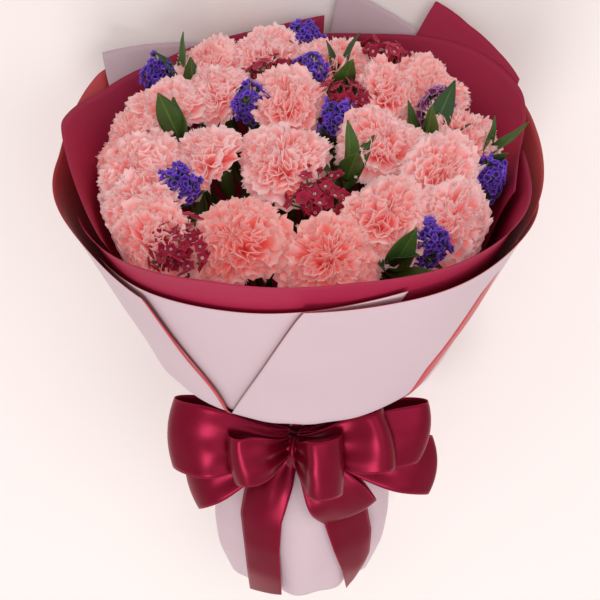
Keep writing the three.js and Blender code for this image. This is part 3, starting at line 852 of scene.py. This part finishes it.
def tuck_in(p):
    """Keeps the bow under the collar's bottom and outside the foot: heights are squeezed by an exponential
    as they near the collar, and points inside the foot are drawn out to its surface."""
    radius = np.hypot(p[..., 0], p[..., 2])
    rising = (COLLAR[0] > 0) & (COLLAR[0] < 110)
    ceiling = np.interp(radius, COLLAR[1][rising], COLLAR[0][rising]) - 3
    over = np.maximum(0, p[..., 1] - (ceiling - 6))
    q = p.copy()
    q[..., 1] = np.where(over > 0, ceiling - 6 * np.exp(-over / 6), p[..., 1])
    least = np.interp(q[..., 1], *FOOT) + 3.5
    share = np.where((radius < least) & (q[..., 1] < 0), least / np.maximum(radius, 1e-6), 1.0)
    q[..., 0] *= share
    q[..., 2] *= share
    return q


PINCH = 0.42  # the share of a loop's width that is left at the knot
EASE = 0.45  # the share of a loop's opening that is there at the knot
CREST = 3.6  # how high a loop buckles


def bow_loop(root, reach_to, side, opening, width, phase, rows=80, columns=20):
    """A loop of ribbon: a teardrop whose reach is the length times half of one less the cosine of the way
    round, and whose halves open by its sine. The ribbon is gathered at the knot, and buckles by a sine of
    its reach. Returns the loop and its length along the middle."""
    length = np.linalg.norm(reach_to)
    ahead = unit(np.array(reach_to, float))
    side = unit(np.array(side) - np.dot(side, ahead) * ahead)
    up = np.cross(ahead, side)
    up = up if up[2] > 0 else -up
    t = np.linspace(0.02, 0.98, rows)[:, None] * 2 * np.pi
    v = np.linspace(-1, 1, columns)[None, :]
    reach = (1 - np.cos(t)) / 2
    buckle = CREST * np.sin(3 * np.pi * reach + phase) * reach * (0.6 + 0.4 * np.cos(2 * v + phase))
    gathers = 2.2 * (1 - reach) ** 1.5 * np.cos(2.6 * np.pi * v + phase)
    lie = opening / 2 * np.sin(t) * (EASE + (1 - EASE) * reach)
    lie = lie + (buckle + gathers) * np.where(t < np.pi, 1, 0.7)
    half = width / 2 * (PINCH + (1 - PINCH) * smooth(reach, 0, 0.8)) * (1 - 0.05 * np.cos(t + phase))
    rounding = 0.05 * v ** 2 + 0.06 * v * np.cos(phase)
    out = length * reach * (1 - rounding * reach)
    p = root + out[..., None] * ahead + lie[..., None] * up + (half * v)[..., None] * side
    p = tuck_in(p)
    run = np.linalg.norm(np.diff(p[:, columns // 2], axis=0), axis=1)
    along = np.concatenate([[0], np.cumsum(run)])[:, None]
    values = {"across": v, "across_mm": half * v, "along_mm": along}
    return closed_sheets(p[None], RIBBON_THICKNESS, values), run.sum()


RIBBON_REST = 3.8  # the ribbon's middle lies this far out from the neck or the foot
TAIL_TOP = -6.0  # where the tails leave the knot, above the tie


def ribbon_tail(middle, widths, end, cut, phase, rows=90, columns=16):
    """A tail that hangs from the knot and lies on the foot: its middle and width change down it, it waves
    by a sine of the way down, and its end is cut on a slant, cut mm longer at one edge. Returns the tail
    and its length."""
    u = np.linspace(0, 1, rows)[:, None]
    v = np.linspace(-1, 1, columns)[None, :]
    along = TAIL_TOP + (end + cut * v / 2 * u ** 3 - TAIL_TOP) * u
    half = even_steps(widths, u) / 2
    across = even_steps(middle, u) + half * v
    gathers = 1.6 * (1 - smooth(u, 0, 0.35)) * np.cos(3 * np.pi * v)
    rise = 5.0 * (1 - smooth(u, 0, 0.3))
    radius = np.interp(along, *FOOT) + RIBBON_REST + rise + 1.2 * np.sin(7 * u + phase)
    radius = radius + (gathers + 0.7 * np.sin(2.2 * v + 5 * u + phase))
    out = np.sqrt(np.maximum(radius ** 2 - across ** 2, (0.4 * radius) ** 2))
    values = {"across": v, "across_mm": half * v, "along_mm": (end - TAIL_TOP) * u}
    part = closed_sheets(np.stack([across, along, out], axis=-1)[None], RIBBON_THICKNESS, values)
    return part, abs(end - TAIL_TOP)


# ---------------------------------------------------------------- settings


def colour_property(name, description, *shown):
    """A colour setting, given as it shows on a screen."""
    return FloatVectorProperty(name=name, description=description, subtype="COLOR", size=3, min=0, max=1,
                               default=linear(*shown))


def number_property(name, description, default, **limits):
    """A number setting."""
    return FloatProperty(name=name, description=description, default=default, **limits)


class BloomSettings(bpy.types.PropertyGroup):
    size: number_property("Bloom Size", "Size of the blooms against a 66 mm one", 1.31, min=0.7, max=1.5,
                          subtype="FACTOR")
    ruffle: number_property("Ruffle", "Depth of the waves at a petal's margin, in mm", 2.9, min=0, max=9)
    seed: IntProperty(name="Seed", description="Which random arrangement the petals take", default=7)
    deep: colour_property("Deep", "Petal colour down in the folds", 240, 92, 84)
    middle: colour_property("Middle", "Petal colour half way up", 248, 150, 146)
    pale: colour_property("Margin", "Petal colour at the margin", 253, 210, 209)


class FillerSettings(bpy.types.PropertyGroup):
    seed: IntProperty(name="Seed", description="Which random arrangement the florets take", default=11)
    statice: colour_property("Statice", "Papery calyx colour", 98, 58, 172)
    sweet_william: colour_property("Sweet William", "Floret colour", 154, 6, 50)
    eye: colour_property("Eye", "Middle of a sweet william floret", 246, 205, 214)
    stock: colour_property("Stock", "Floret colour", 184, 62, 150)
    leaf_dark: colour_property("Leaf", "Leaf colour", 30, 66, 32)
    leaf_light: colour_property("Leaf Rib", "Leaf colour along the midrib", 112, 150, 62)


class WrapSettings(bpy.types.PropertyGroup):
    thickness: number_property("Paper", "Thickness of the paper, in mm", 0.5, min=0.2, max=1)
    paper: colour_property("Pink Paper", "Outside of the wrap", 208, 181, 189)
    reverse: colour_property("Reverse", "Inside of the pink paper, seen at its hems", 196, 66, 72)
    lining: colour_property("Lining", "Crimson lining paper", 166, 26, 66)


LOOP_WIDTH = 48  # the mean width of the bow's loops, in mm


class RibbonSettings(bpy.types.PropertyGroup):
    width: number_property("Loop Width", "Mean width of the bow's loops, in mm", LOOP_WIDTH, min=30, max=60)
    satin: colour_property("Satin", "Ribbon colour", 84, 3, 15)
    # A painted highlight: the lighter colour that the satin is mixed towards along its threads and edges.
    bright: colour_property("Highlight", "Ribbon colour where it catches the light", 190, 30, 74)
    twine: colour_property("Twine", "Cord round the stems", 190, 160, 116)


class StageSettings(bpy.types.PropertyGroup):
    floor: colour_property("Table", "Colour of the table top", 254, 243, 239)
    fill: number_property("Fill Light", "Strength of the even light all round", 0.66, min=0)
    key: number_property("Soft Lights", "Power of the two soft lights together, in watts", 20, min=0)


# ---------------------------------------------------------------- operators


CALYX = [(0, 3.0), (6, 6.0), (18, 7.4), (24, 7.2), (27, 6.4), (28, 2.0)]  # rises and radii
HEAD_LENGTHS = {"carnation": 56, "statice": 32, "sweet_william": 28, "stock": 42, "leaf": 48}  # in CAD


def leaf_finish(fillers):
    """The one green of all the stems and leaves, from the filler flowers' settings."""
    return finish("Leaf Green", leaf_material, tuple(fillers.leaf_dark), tuple(fillers.leaf_light))


class CARNATIONS_OT_blooms(bpy.types.Operator):
    """Builds the carnations: a ruffled bloom, and the stem with its calyx and narrow leaves, for each"""

    bl_idname = "carnations.blooms"
    bl_label = "Carnation Blooms"

    def execute(self, context):
        s = context.scene.carnation_blooms
        petals = finish("Carnation Petal", petal_material, tuple(s.deep), tuple(s.middle), tuple(s.pale))
        green = leaf_finish(context.scene.carnation_fillers)
        for i, name in enumerate(numbered("carnation")):
            rng = np.random.default_rng(s.seed * 100 + i)
            flower = Flower(name, HEAD_LENGTHS["carnation"])
            size = s.size * (0.93 + 0.2 * smooth(flower.tip[2], -120, 60)) * rng.uniform(0.97, 1.05)
            warm = 0.12 + 0.5 * smooth(flower.tip[2], 50, 130) + rng.uniform(-0.12, 0.22)
            title = "Carnation_" + name[-2:]
            part = bloom(flower, size, s.ruffle, warm, rng)
            make_piece(title + "_Bloom", [part], [petals], "carnation", name)
            base = flower.stem(np.array([0.62, 0.8, 0.93]) * flower.base[1])
            aside = flower.round_about(rng.uniform(0, 6.28, 3))
            leaves = leaf_blades(base, flower.up + 0.55 * aside, aside, rng.uniform(42, 62, 3), 6.5, rng,
                                 fold=0.5, curl=-0.2)
            make_piece(title + "_Stem", [stem_part(flower, 2.0, CALYX, i), leaves], [green], "leaf", name)
        return {"FINISHED"}


class CARNATIONS_OT_fillers(bpy.types.Operator):
    """Builds the statice, sweet william and stock: clusters of small florets on leafy stems"""

    bl_idname = "carnations.fillers"
    bl_label = "Filler Flowers"

    def execute(self, context):
        s = context.scene.carnation_fillers
        green = leaf_finish(s)
        statice = finish("Statice Calyx", petal_material, scaled(s.statice, 0.35), tuple(s.statice),
                         scaled(s.statice, 2.4), veins=5.0, glow=0.0)
        william = finish("Sweet William Petal", petal_material, tuple(s.eye), tuple(s.sweet_william),
                         scaled(s.sweet_william, 1.7), spots=(0.0, 0.1, 0.2, 1.0), veins=3.0, glow=0.0)
        stock = finish("Stock Petal", petal_material, scaled(s.stock, 0.4), tuple(s.stock),
                       (0.75, 0.5, 0.72), veins=3.0, glow=0.0)
        kinds = {
            "statice": dict(count=110, wide=16, tall=20, spread=1.5, middle=20, radius=3.4, depth=3.0,
                            lobes=5, stem=1.4, look=statice),
            "sweet_william": dict(count=46, wide=26, tall=13, spread=1.15, middle=25, radius=6.2, depth=0.8,
                                  lobes=5, stem=1.8, look=william),
            "stock": dict(count=52, wide=15, tall=23, spread=1.6, middle=31, radius=5.4, depth=1.6,
                          lobes=4, stem=1.8, look=stock),
        }
        for row, (kind, k) in enumerate(kinds.items()):
            for i, name in enumerate(numbered(kind)):
                rng = np.random.default_rng(s.seed * 1000 + row * 100 + i)
                flower = Flower(name, HEAD_LENGTHS[kind])
                centre, face = dome(flower, k["count"], k["wide"], k["tall"], k["spread"], k["middle"], rng)
                part = florets(centre, face, k["radius"], k["depth"], k["lobes"], rng)
                title = kind.title() + name[-3:]
                make_piece(title + "_Florets", [part], [k["look"]], kind, name)
                hub_height = k["middle"] * 0.35  # where the florets' twigs part from the stem
                hub = flower.place(np.zeros(1), np.zeros(1), np.full(1, hub_height))
                stalks = np.stack([hub + (centre - hub) * t for t in (0.0, 0.5, 0.96)], axis=1)
                look = {"edge": 0.6, "across": 0.4, "shade": 0.9}
                twigs = closed_tubes(keep_inside(stalks), 0.8, 4, look)
                stem = stem_part(flower, k["stem"], [(0, k["stem"]), (hub_height, 2.4)], i)
                aside = flower.round_about(rng.uniform(0, 6.28) + np.arange(4) * 1.7)
                base = np.repeat(flower.stem(np.array([0.9, 0.99]) * flower.base[1]), 2, axis=0)
                leaves = leaf_blades(base, flower.up + 0.9 * aside, flower.up, rng.uniform(26, 40, 4),
                                     rng.uniform(9, 14, 4), rng, curl=0.15)
                make_piece(title + "_Stem", [stem, twigs, leaves], [green], "leaf", name)
        return {"FINISHED"}


class CARNATIONS_OT_leaves(bpy.types.Operator):
    """Builds the sprays of pointed leaves that stand between the blooms"""

    bl_idname = "carnations.leaves"
    bl_label = "Leaf Sprays"

    def execute(self, context):
        s = context.scene.carnation_fillers
        green = leaf_finish(s)
        for i, name in enumerate(numbered("leaf")):
            rng = np.random.default_rng(s.seed * 500 + i)
            flower = Flower(name, HEAD_LENGTHS["leaf"])
            count = 5
            aside = flower.round_about(rng.uniform(0, 6.28) + np.arange(count) * 2.4)
            base = flower.place(np.zeros(count), np.zeros(count), np.linspace(-8, 28, count))
            spread = np.linspace(0.7, 0.15, count)[:, None]
            length = rng.uniform(42, 56, count)
            width = rng.uniform(16, 23, count)
            leaves = leaf_blades(base, flower.up + spread * aside, flower.up - 0.6 * aside, length, width,
                                 rng, fold=0.3, curl=0.12, rows=13, columns=9)
            stem = stem_part(flower, 1.3, [(0, 1.3), (14, 0.8)], i)
            make_piece("Leaf_Spray_" + name[-2:], [stem, leaves], [green], "leaf", name)
        return {"FINISHED"}


# Each sheet: CAD node, layer, left and right edge angles from the bottom up, top edge heights from left
# to right, how far its top rolls out, how far it stands out from the others, and round which angle.
SHEETS = (
    ("collar_left", 0, (-186, -186), (-34, -29, -29.8, -35.8, -41.2), (256, 258, 259, 236, 229, 214),
     1.5, 6, -87),
    ("collar_right", -0.3, (-46, -29.5, -16.5, -7, 0.8), (80, 80), (244, 243, 240, 238, 233), 1.5, 3, 80),
    ("collar_front", 1.5, (-44, -52, -62), (6, 16, 24), (214, 222, 232, 241, 250), 1.0, 0, 0),
    ("collar_side", 1, (62, 62), (150, 150), (229, 240, 247, 257, 258), 1.5, 5, 88),
    ("collar_back", 2, (138, 140, 142), (178, 176, 171), (262, 270, 284, 298, 312), 0.5, 0, 0),
    ("collar_corner", 2, (-176, -176), (-100, -112, -130), (262, 262, 266, 272), 0.5, 0, 0),
    ("lining_front", 3, (-78, -78), (100, 100), (222, 244, 266, 270, 262, 252, 242), 2.5, -6, 92),
    ("lining_left", 4, (-186, -186), (-60, -60), (288, 272, 256, 252, 262, 247, 232), 1.5, -9, -84),
    ("lining_right", 3.7, (84, 100, 120), (165, 158, 149), (266, 274, 284, 300), 0.5, -4, 90),
    ("lining_back", 5, (78, 78), (190, 190), (246, 247, 263, 270, 273, 274, 272), 0.5, -9, 84),
)


PINK_INSIDE = ("collar_back", "collar_corner")  # the other collar sheets are coral inside

# Each hem: its piece, the angles of its middle from the bottom up, the heights of its ends, its widths
# from the bottom up and how far it stands out, and the CAD node that it belongs to.
HEMS = (
    ("Hem_Left", ((-30, -28.6, -33, -37.5, -41.2), (60, 213), (1.5, 3.4, 3.6, 2.8, 2.0), 1.0), "collar_left"),
    ("Hem_Right", ((44, 52, 56.5, 58, 62), (78, 234), (1.0, 26, 36, 30, 3), 1.2), "collar_right"),
)


class CARNATIONS_OT_wrap(bpy.types.Operator):
    """Builds the collar of pink paper, its coral hems, the crimson linings and the foot"""

    bl_idname = "carnations.wrap"
    bl_label = "Paper Wrap"

    def execute(self, context):
        s = context.scene.carnation_wrap
        pink = finish("Pink Paper", paper_material, tuple(s.paper))
        coral = finish("Coral Reverse", paper_material, tuple(s.reverse))
        crimson = finish("Crimson Paper", paper_material, tuple(s.lining), depth=0.16, roughness=0.65,
                         sheen=0.0)
        for node, *shape in SHEETS:
            part = paper_sheet(*shape, s.thickness)
            if node.startswith("lining"):
                make_piece(node.title(), [part], [crimson, crimson], "crimson_paper", node)
            else:
                inside = pink if node in PINK_INSIDE else coral
                make_piece(node.title(), [part], [inside, pink], "pink_paper", node)
        for title, hem, node in HEMS:
            make_piece(title, [hem_strip(*hem)], [coral], "pink_paper", node)
        make_piece("Foot", [foot_sheet(s.thickness)], [pink, coral], "pink_paper", "foot_wrap")
        return {"FINISHED"}


BAND_WIDTH = 35.0  # the ribbon round the neck, gathered
STRIP_COLUMNS = 18

# Loops of the bow: how far each reaches across, along and out of the front, the way that the ribbon's
# width runs, how far it opens, its width and the phase of its folds.
LEFT_LOOPS = (
    ((-88, -48, -6), (0.4, 0.9, -0.3), 30, 50, 0.6),
    ((-102, 14, 0), (-0.12, 1, -0.4), 50, 62, 2.0),
    ((-48, 8, 30), (0.2, 1, -0.5), 40, 46, 4.0),
)
RIGHT_LOOPS = (
    ((118, -26, 0), (0.6, 0.8, -0.45), 20, 50, 1.0),
    ((110, 16, 0), (0.1, 1, -0.4), 42, 54, 3.2),
    ((78, 22, 16), (0.05, 1, -0.4), 40, 54, 5.0),
    ((46, -70, 10), (1, 0.1, 0), 18, 52, 1.8),
    ((30, 8, 38), (-0.15, 1, -0.45), 46, 50, 0.2),
)


class CARNATIONS_OT_ribbon(bpy.types.Operator):
    """Builds the satin band, knot, bow loops and tails"""

    bl_idname = "carnations.ribbon"
    bl_label = "Satin Bow"

    def execute(self, context):
        s = context.scene.carnation_ribbon
        satin = finish("Crimson Satin", satin_material, tuple(s.satin), tuple(s.bright))
        knot = node_points("bow_knot")
        middle = (knot.min(axis=0) + knot.max(axis=0)) / 2
        v = np.linspace(-1, 1, STRIP_COLUMNS)

        def satin_piece(title, made, node):
            """A piece made from the parts of (part, length) pairs."""
            piece = make_piece(title, [part for part, _ in made], [satin], "satin", node)
            return piece

        t = np.linspace(0, 1, 150)
        around = 2 * np.pi * t * 1.04 + 2.6
        radius = NECK_RADIUS + RIBBON_REST + 0.9 * t
        line = np.stack([radius * np.sin(around), 0 * t, radius * np.cos(around)], axis=1)
        pleats = 0.55 * np.sin(5 * np.pi * v + 3 * np.sin(3 * around)[:, None])
        half = np.full(len(t), BAND_WIDTH / 2)
        band = ribbon_strip(line, np.broadcast_to([0, 1.0, 0], line.shape), unit(line), half, pleats)
        satin_piece("Ribbon_Band", [band], "ribbon_band")

        around = 2 * np.pi * np.linspace(0, 1.02, 90)
        line = middle + np.stack([0 * around, 15.5 * np.sin(around), 8.5 * np.cos(around)], axis=1)
        face = unit(np.stack([0 * around, np.sin(around), np.cos(around)], axis=1))
        pleats = 0.9 * np.cos(4 * np.pi * v + 1.2 * np.sin(2 * around)[:, None]) - 1.5 * v ** 2
        half = 11 + 1.5 * np.cos(2 * around)
        wound = ribbon_strip(line, np.broadcast_to([1.0, 0, 0], line.shape), face, half, pleats)
        loops = ["Bow_Loops_Left", "Bow_Loops_Right"]
        satin_piece("Bow_Knot", [wound], "bow_knot")

        for title, loops, side in (("Bow_Loops_Left", LEFT_LOOPS, -1), ("Bow_Loops_Right", RIGHT_LOOPS, 1)):
            made = []
            for i, (reach_to, across, opening, width, phase) in enumerate(loops):
                root = middle + np.array([side * 5.0 - 5, 8, 1.6 * i - 3.0])
                made.append(bow_loop(root, reach_to, across, opening, width * s.width / LOOP_WIDTH, phase))
            satin_piece(title, made, title.lower())

        left = ribbon_tail((-9, -26, -34, -33.5, -32, -31), (20, 40, 36, 31, 30, 29), -168, 12, 0.3)
        right = ribbon_tail((10, 28, 39, 46, 50, 48), (20, 38, 38, 34, 24, 12), -158, 26, 2.1)
        satin_piece("Ribbon_Tail_Left", [left], "ribbon_tail_left")
        satin_piece("Ribbon_Tail_Right", [right], "ribbon_tail_right")
        return {"FINISHED"}


TWINE_TURNS = 4
TWINE_RADIUS = 1.85
TWINE_SPREAD = 12.0  # from the first turn to the last, along the stems


class CARNATIONS_OT_twine(bpy.types.Operator):
    """Builds the turns of twine that hold the stems under the ribbon"""

    bl_idname = "carnations.twine"
    bl_label = "Twine"

    def execute(self, context):
        s = context.scene.carnation_ribbon
        twine = finish("Twine", twine_material, tuple(s.twine))
        around = np.linspace(0, 1, 260) * TWINE_TURNS * 2 * np.pi
        radius = TIE_RADIUS - TWINE_RADIUS - 0.15
        rise = TWINE_SPREAD * (np.linspace(0, 1, 260) - 0.5)
        line = np.stack([radius * np.cos(around), rise, radius * np.sin(around)], axis=1)
        part = closed_tubes(line[None], TWINE_RADIUS, 8, {"along_mm": around * radius})
        make_piece("Twine", [part], [twine], "twine", "stem_tie")
        return {"FINISHED"}


TABLE_REACH = 6.0  # metres from the middle of the table to its edges
CAMERA_AIM = 113.4  # mm above the tie, on the axis
CAMERA_RISE = math.radians(36)  # above the bunch's cross-section
CAMERA_DISTANCE = 1.6
LAMP_DISTANCE = 2.0
# Each soft light: its name, the way to it from the bunch, its size and its share of the power.
LAMPS = (("Key_Light", (0.42, 0.1, 0.9), 1.5, 0.3), ("Front_Light", (-0.12, -0.35, 0.88), 0.7, 0.7))


class CARNATIONS_OT_stage(bpy.types.Operator):
    """Builds the table top, the soft lights and the camera"""

    bl_idname = "carnations.stage"
    bl_label = "Stage"

    def execute(self, context):
        scene = context.scene
        s = scene.carnation_stage
        mesh = bpy.data.meshes.new("Table_Top")
        corners = [(-1, -1, 0), (1, -1, 0), (1, 1, 0), (-1, 1, 0)]
        mesh.from_pydata([[TABLE_REACH * c for c in corner] for corner in corners], [], [(0, 1, 2, 3)])
        table = bpy.data.objects.new("Table_Top", mesh)
        scene.collection.objects.link(table)
        mesh.materials.append(finish("Table Top", floor_material, tuple(s.floor)))

        world = bpy.data.worlds.new("Even Light")
        world.use_nodes = True
        background = world.node_tree.nodes["Background"]
        background.inputs["Color"].default_value = (1, 1, 1, 1)
        background.inputs["Strength"].default_value = s.fill
        scene.world = world
        scene.view_settings.view_transform = "Standard"

        target = Vector(to_row(np.array([0, CAMERA_AIM, 0])).tolist())
        for name, way, size, share in LAMPS:
            lamp = bpy.data.lights.new(name, "AREA")
            lamp.shape = "DISK"
            lamp.size = size
            lamp.energy = s.key * share
            lit = bpy.data.objects.new(name, lamp)
            away = Vector(way).normalized()
            lit.location = target + away * LAMP_DISTANCE
            lit.rotation_euler = away.to_track_quat("Z", "Y").to_euler()
            scene.collection.objects.link(lit)

        data = bpy.data.cameras.new("Camera")
        data.lens = 113.7
        data.sensor_width = 36
        camera = bpy.data.objects.new("Camera", data)
        above = CAMERA_RISE - LEAN
        back = Vector((0, math.sin(above), math.cos(above)))
        right = Vector((1, 0, 0))
        up = back.cross(right)
        turned = Matrix((right, up, back)).transposed().to_4x4()
        camera.matrix_world = Matrix.Translation(target + back * CAMERA_DISTANCE) @ turned
        scene.collection.objects.link(camera)
        scene.camera = camera
        return {"FINISHED"}


class CARNATIONS_PT_bunch(bpy.types.Panel):
    """Sizes, colours and the operator for each group of pieces"""

    bl_label = "Bunch of Carnations"
    bl_idname = "CARNATIONS_PT_bunch"
    bl_space_type = "VIEW_3D"
    bl_region_type = "UI"
    bl_category = "Carnations"

    def draw(self, context):
        for settings, _, operators in GROUPS:
            box = self.layout.box()
            for name in getattr(context.scene, settings).bl_rna.properties.keys():
                if name not in ("rna_type", "name"):
                    box.prop(getattr(context.scene, settings), name)
            for operator in operators:
                box.operator(operator.bl_idname)


GROUPS = (
    ("carnation_stage", StageSettings, (CARNATIONS_OT_stage,)),
    ("carnation_blooms", BloomSettings, (CARNATIONS_OT_blooms,)),
    ("carnation_fillers", FillerSettings, (CARNATIONS_OT_fillers, CARNATIONS_OT_leaves)),
    ("carnation_wrap", WrapSettings, (CARNATIONS_OT_wrap,)),
    ("carnation_ribbon", RibbonSettings, (CARNATIONS_OT_ribbon, CARNATIONS_OT_twine)),
)


def register():
    """Registers the settings, the operators and the panel."""
    for settings, group, operators in GROUPS:
        bpy.utils.register_class(group)
        setattr(bpy.types.Scene, settings, PointerProperty(type=group))
        for operator in operators:
            bpy.utils.register_class(operator)
    bpy.utils.register_class(CARNATIONS_PT_bunch)


def unregister():
    """Takes them away again, the last one first."""
    bpy.utils.unregister_class(CARNATIONS_PT_bunch)
    for settings, group, operators in reversed(GROUPS):
        for operator in reversed(operators):
            bpy.utils.unregister_class(operator)
        delattr(bpy.types.Scene, settings)
        bpy.utils.unregister_class(group)


def main():
    register()
    for operator in (op for _, _, operators in GROUPS for op in operators):
        group, name = operator.bl_idname.split(".")
        getattr(getattr(bpy.ops, group), name)()


if __name__ == "__main__":
    main()
